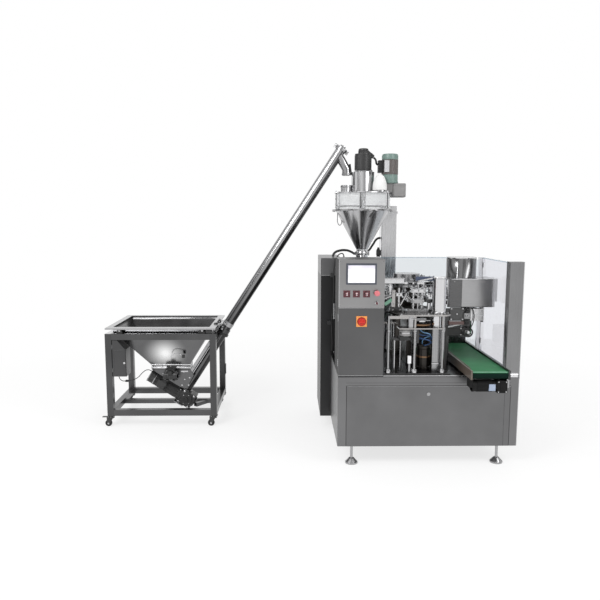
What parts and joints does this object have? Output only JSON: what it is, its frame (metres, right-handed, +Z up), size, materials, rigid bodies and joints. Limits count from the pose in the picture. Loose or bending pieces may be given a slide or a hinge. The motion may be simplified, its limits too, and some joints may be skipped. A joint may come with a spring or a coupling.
{
  "type": "powder pouch packing machine",
  "caption": "Rotary pouch packing machine with an auger filler above, a hooded sealing station, a discharge belt, and an inclined screw feeder on casters beside it.",
  "frame": {"origin": "on the floor, at the middle of the whole line's footprint", "axes": "+X to the right along the line of the two machines, +Y away from the operator, +Z up"},
  "size_m": [3.546, 1.97, 2.645],
  "materials": {
    "agitator": "brushed stainless steel, satin",
    "agitator_gearmotor": "green-grey paint, satin",
    "back_window": "clear sheet, glossy",
    "base_cabinet": "brushed stainless steel, satin",
    "belt": "green belt, smooth",
    "belt_frame": "extruded, satin",
    "belt_motor": "black, satin",
    "breather_sock": "white filter cloth",
    "cabinet_door": "brushed stainless steel, satin",
    "cable_switch": "black moulded, matt",
    "caster_fork_front_left": "black moulded, matt",
    "caster_fork_front_right": "black moulded, matt",
    "caster_wheel_front_left": "black rubber, matt",
    "caster_wheel_front_right": "black rubber, matt",
    "caster_wheel_rear_left": "black rubber, matt",
    "caster_wheel_rear_right": "black rubber, matt",
    "control_cabinet": "brushed stainless steel, satin",
    "control_panel": "brushed stainless steel, satin",
    "conveyor_screw": "brushed stainless steel, satin",
    "conveyor_tube": "polished stainless steel",
    "dosing_screw": "brushed stainless steel, satin",
    "drive_roller": "chromed or polished, mirror-like",
    "electrical_cabinet": "darkened steel, satin",
    "emergency_stop": "red moulded, glossy",
    "feeder_cable": "black rubber, matt",
    "feeder_control_box": "brushed stainless steel, satin",
    "feeder_frame": "brushed stainless steel, satin",
    "feeder_gearmotor": "dark grey paint, satin",
    "feeder_hopper": "brushed stainless steel, satin",
    "filler_cable": "black rubber, matt",
    "filler_column": "brushed stainless steel, satin",
    "filler_hopper": "polished stainless steel",
    "front_panel": "brushed stainless steel, satin",
    "front_panel_latch": "chromed or polished, mirror-like",
    "handwheel": "black moulded, matt",
    "hopper_lid": "brushed stainless steel, satin",
    "hopper_vibrator": "black paint, satin",
    "hopper_window": "clear sheet, glossy",
    "key_switch": "chromed or polished, mirror-like",
    "left_grippers": "chromed or polished, mirror-like",
    "levelling_foot_front_left": "darkened steel, satin",
    "levelling_foot_front_right": "darkened steel, satin",
    "levelling_foot_rear_left": "darkened steel, satin",
    "levelling_foot_rear_right": "darkened steel, satin",
    "main_switch": "red moulded, glossy",
    "motor_cable": "black rubber, matt",
    "right_grippers": "chromed or polished, mirror-like",
    "seal_jaw": "brushed stainless steel, satin",
    "sealing_hood": "brushed stainless steel, satin",
    "sealing_station": "darkened steel, satin",
    "selector_switch_left": "red moulded, glossy",
    "selector_switch_middle": "red moulded, glossy",
    "selector_switch_right": "red moulded, glossy",
    "servo_motor": "black paint, satin",
    "side_window": "clear sheet, glossy",
    "table_plate": "brushed stainless steel, satin",
    "tail_roller": "chromed or polished, mirror-like",
    "touch_screen": "pale screen in a dark bezel",
    "tube_cap": "brushed stainless steel, satin",
    "turret_stand": "brushed stainless steel, satin"
  },
  "bodies": {
    "machine": {"base_cabinet": "base_cabinet", "table_plate": "table_plate", "levelling_foot_front_left": "levelling_foot_front_left", "levelling_foot_front_right": "levelling_foot_front_right", "levelling_foot_rear_left": "levelling_foot_rear_left", "levelling_foot_rear_right": "levelling_foot_rear_right", "electrical_cabinet": "electrical_cabinet", "control_cabinet": "control_cabinet", "back_window": "back_window", "filler_column": "filler_column", "filler_hopper": "filler_hopper", "hopper_window": "hopper_window", "hopper_lid": "hopper_lid", "servo_motor": "servo_motor", "agitator_gearmotor": "agitator_gearmotor", "breather_sock": "breather_sock", "filler_cable": "filler_cable", "motor_cable": "motor_cable", "belt_frame": "belt_frame", "belt": "belt", "belt_motor": "belt_motor", "turret_stand": "turret_stand", "sealing_hood": "sealing_hood", "sealing_station": "sealing_station"},
    "feeder": {"feeder_frame": "feeder_frame", "feeder_hopper": "feeder_hopper", "feeder_control_box": "feeder_control_box", "feeder_cable": "feeder_cable", "cable_switch": "cable_switch", "conveyor_tube": "conveyor_tube", "tube_cap": "tube_cap", "feeder_gearmotor": "feeder_gearmotor", "hopper_vibrator": "hopper_vibrator"},
    "control_panel": {"control_panel": "control_panel", "touch_screen": "touch_screen"},
    "conveyor_screw": {"conveyor_screw": "conveyor_screw"},
    "caster_fork_front_left": {"caster_fork_front_left": "caster_fork_front_left"},
    "caster_fork_front_right": {"caster_fork_front_right": "caster_fork_front_right"},
    "caster_wheel_front_left": {"caster_wheel_front_left": "caster_wheel_front_left"},
    "caster_wheel_front_right": {"caster_wheel_front_right": "caster_wheel_front_right"},
    "caster_wheel_rear_left": {"caster_wheel_rear_left": "caster_wheel_rear_left"},
    "caster_wheel_rear_right": {"caster_wheel_rear_right": "caster_wheel_rear_right"},
    "front_panel": {"front_panel": "front_panel"},
    "front_panel_latch": {"front_panel_latch": "front_panel_latch"},
    "cabinet_door": {"cabinet_door": "cabinet_door"},
    "selector_switch_left": {"selector_switch_left": "selector_switch_left"},
    "selector_switch_middle": {"selector_switch_middle": "selector_switch_middle"},
    "selector_switch_right": {"selector_switch_right": "selector_switch_right"},
    "emergency_stop": {"emergency_stop": "emergency_stop"},
    "key_switch": {"key_switch": "key_switch"},
    "main_switch": {"main_switch": "main_switch"},
    "side_window": {"side_window": "side_window"},
    "agitator": {"agitator": "agitator"},
    "dosing_screw": {"dosing_screw": "dosing_screw"},
    "drive_roller": {"drive_roller": "drive_roller"},
    "tail_roller": {"tail_roller": "tail_roller"},
    "left_grippers": {"left_grippers": "left_grippers"},
    "right_grippers": {"right_grippers": "right_grippers"},
    "seal_jaw": {"seal_jaw": "seal_jaw"},
    "handwheel": {"handwheel": "handwheel"}
  },
  "joints": [
    {"name": "feeder_roll", "type": "slide", "parent": "machine", "child": "feeder", "axis": [1, 0, 0], "range_m": [-0.5, 0]},
    {"name": "caster_swivel_left", "type": "hinge", "parent": "feeder", "child": "caster_fork_front_left", "pos_m": [-1.689, 0.194, 0.1], "axis": [0, 0, 1], "continuous": true},
    {"name": "caster_swivel_right", "type": "hinge", "parent": "feeder", "child": "caster_fork_front_right", "pos_m": [-0.727, 0.194, 0.1], "axis": [0, 0, 1], "continuous": true},
    {"name": "wheel_spin_front_left", "type": "hinge", "parent": "caster_fork_front_left", "child": "caster_wheel_front_left", "pos_m": [-1.717, 0.194, 0.0315], "axis": [0, 1, 0], "continuous": true},
    {"name": "wheel_spin_front_right", "type": "hinge", "parent": "caster_fork_front_right", "child": "caster_wheel_front_right", "pos_m": [-0.755, 0.194, 0.0315], "axis": [0, 1, 0], "continuous": true},
    {"name": "wheel_spin_rear_left", "type": "hinge", "parent": "feeder", "child": "caster_wheel_rear_left", "pos_m": [-1.717, 0.956, 0.0315], "axis": [0, 1, 0], "continuous": true},
    {"name": "wheel_spin_rear_right", "type": "hinge", "parent": "feeder", "child": "caster_wheel_rear_right", "pos_m": [-0.755, 0.956, 0.0315], "axis": [0, 1, 0], "continuous": true},
    {"name": "conveyor_screw_spin", "type": "hinge", "parent": "feeder", "child": "conveyor_screw", "pos_m": [-0.6436, 0.465, 0.878], "axis": [0.5458, 0, 0.8379], "continuous": true},
    {"name": "control_panel_hinge", "type": "hinge", "parent": "machine", "child": "control_panel", "pos_m": [0.358, -0.767, 1.256], "axis": [0, 0, -1], "range_deg": [0, 110]},
    {"name": "cabinet_door_hinge", "type": "hinge", "parent": "machine", "child": "cabinet_door", "pos_m": [0.358, -0.767, 1], "axis": [0, 0, -1], "range_deg": [0, 110]},
    {"name": "front_panel_lift_off", "type": "slide", "parent": "machine", "child": "front_panel", "axis": [0, -1, 0], "range_m": [0, 0.04]},
    {"name": "front_panel_latch_turn", "type": "hinge", "parent": "front_panel", "child": "front_panel_latch", "pos_m": [1.065, -0.785, 0.58], "axis": [0, -1, 0], "range_deg": [0, 90]},
    {"name": "selector_turn_left", "type": "hinge", "parent": "control_panel", "child": "selector_switch_left", "pos_m": [0.419, -0.785, 1.364], "axis": [0, -1, 0], "range_deg": [-45, 45]},
    {"name": "selector_turn_middle", "type": "hinge", "parent": "control_panel", "child": "selector_switch_middle", "pos_m": [0.493, -0.785, 1.364], "axis": [0, -1, 0], "range_deg": [-45, 45]},
    {"name": "selector_turn_right", "type": "hinge", "parent": "control_panel", "child": "selector_switch_right", "pos_m": [0.57, -0.785, 1.364], "axis": [0, -1, 0], "range_deg": [-45, 45]},
    {"name": "emergency_stop_push", "type": "slide", "parent": "control_panel", "child": "emergency_stop", "axis": [0, 1, 0], "range_m": [0, 0.006]},
    {"name": "key_turn", "type": "hinge", "parent": "control_panel", "child": "key_switch", "pos_m": [0.649, -0.785, 1.294], "axis": [0, -1, 0], "range_deg": [0, 60]},
    {"name": "main_switch_turn", "type": "hinge", "parent": "cabinet_door", "child": "main_switch", "pos_m": [0.535, -0.785, 1.152], "axis": [0, -1, 0], "range_deg": [0, 90]},
    {"name": "side_window_hinge", "type": "hinge", "parent": "machine", "child": "side_window", "pos_m": [1.756, 0.1357, 0.728], "axis": [0, 0, 1], "range_deg": [0, 110]},
    {"name": "agitator_spin", "type": "hinge", "parent": "machine", "child": "agitator", "pos_m": [0.677, 0.465, 2.1], "axis": [0, 0, 1], "continuous": true},
    {"name": "dosing_screw_spin", "type": "hinge", "parent": "machine", "child": "dosing_screw", "pos_m": [0.677, 0.465, 1.6], "axis": [0, 0, 1], "continuous": true},
    {"name": "drive_roller_spin", "type": "hinge", "parent": "machine", "child": "drive_roller", "pos_m": [1.478, -0.9555, 0.7725], "axis": [1, 0, 0], "continuous": true},
    {"name": "tail_roller_spin", "type": "hinge", "parent": "machine", "child": "tail_roller", "pos_m": [1.478, 0.1415, 0.7725], "axis": [1, 0, 0], "continuous": true},
    {"name": "turret_spin", "type": "hinge", "parent": "machine", "child": "left_grippers", "pos_m": [1.0415, 0.1005, 1.39], "axis": [0, 0, 1], "continuous": true},
    {"name": "pouch_width_set", "type": "hinge", "parent": "left_grippers", "child": "right_grippers", "pos_m": [1.0415, 0.1005, 1.36], "axis": [0, 0, 1], "range_deg": [-4, 8]},
    {"name": "seal_jaw_close", "type": "slide", "parent": "machine", "child": "seal_jaw", "axis": [-0.7071, 0.7071, 0], "range_m": [0, 0.046]},
    {"name": "handwheel_turn", "type": "hinge", "parent": "machine", "child": "handwheel", "pos_m": [1.451, -0.475, 1.01], "axis": [0, -1, 0], "continuous": true}
  ],
  "couplings": [
    {"joint": "tail_roller_spin", "follows": "drive_roller_spin", "ratio": 1},
    {"joint": "wheel_spin_front_left", "follows": "feeder_roll", "rad_per_m": 31.746},
    {"joint": "wheel_spin_front_right", "follows": "feeder_roll", "rad_per_m": 31.746},
    {"joint": "wheel_spin_rear_left", "follows": "feeder_roll", "rad_per_m": 31.746},
    {"joint": "wheel_spin_rear_right", "follows": "feeder_roll", "rad_per_m": 31.746}
  ]
}
